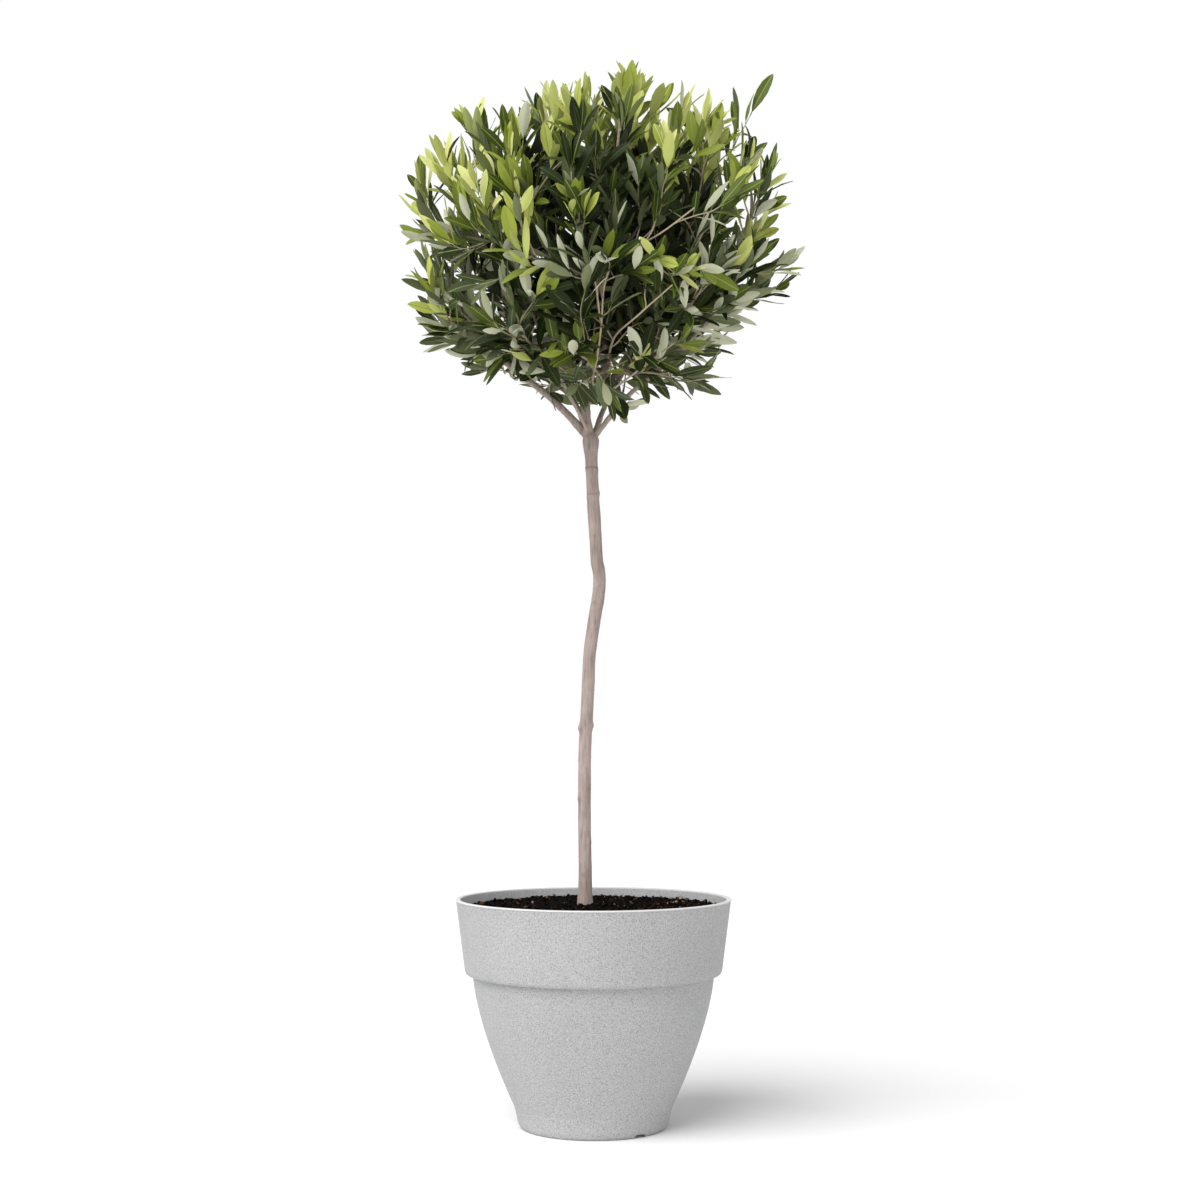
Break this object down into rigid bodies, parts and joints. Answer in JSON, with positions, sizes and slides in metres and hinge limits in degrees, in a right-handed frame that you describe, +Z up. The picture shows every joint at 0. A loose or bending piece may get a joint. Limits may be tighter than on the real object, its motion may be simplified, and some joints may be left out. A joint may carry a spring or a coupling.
{
  "type": "potted olive tree",
  "caption": "Olive standard with a clear slender stem and round leafy head, growing in a round plastic patio pot with a deep rim band.",
  "frame": {"origin": "centre of the pot's flat underside", "axes": "+Z up along the pot's axis and the stem, -Y towards the viewer at the front, +X to the right"},
  "size_m": [0.4439, 0.4193, 1.1756],
  "materials": {
    "pot_plastic": "matte",
    "potting_mix": "matte",
    "bark": "matte",
    "foliage": "matte"
  },
  "bodies": {
    "root": {"pot": "pot_plastic", "soil": "potting_mix", "stem": "bark", "leader": "bark", "bough_back_left": "bark", "bough_back_right": "bark", "bough_front": "bark", "bough_left": "bark", "bough_right": "bark", "limb_back": "bark", "limb_front": "bark", "limb_left": "bark", "limb_right": "bark", "foliage_lower_back_left": "foliage", "foliage_lower_back_right": "foliage", "foliage_lower_front": "foliage", "foliage_lower_left": "foliage", "foliage_lower_right": "foliage", "foliage_middle_back_left": "foliage", "foliage_middle_back_right": "foliage", "foliage_middle_front_left": "foliage", "foliage_middle_front_right": "foliage", "foliage_middle_left": "foliage", "foliage_middle_right": "foliage", "foliage_spire": "foliage", "foliage_top_back": "foliage", "foliage_top_left": "foliage", "foliage_top_right": "foliage", "foliage_upper_back_left": "foliage", "foliage_upper_back_right": "foliage", "foliage_upper_front_left": "foliage", "foliage_upper_front_right": "foliage", "foliage_upper_left": "foliage", "foliage_upper_right": "foliage"}
  },
  "joints": []
}
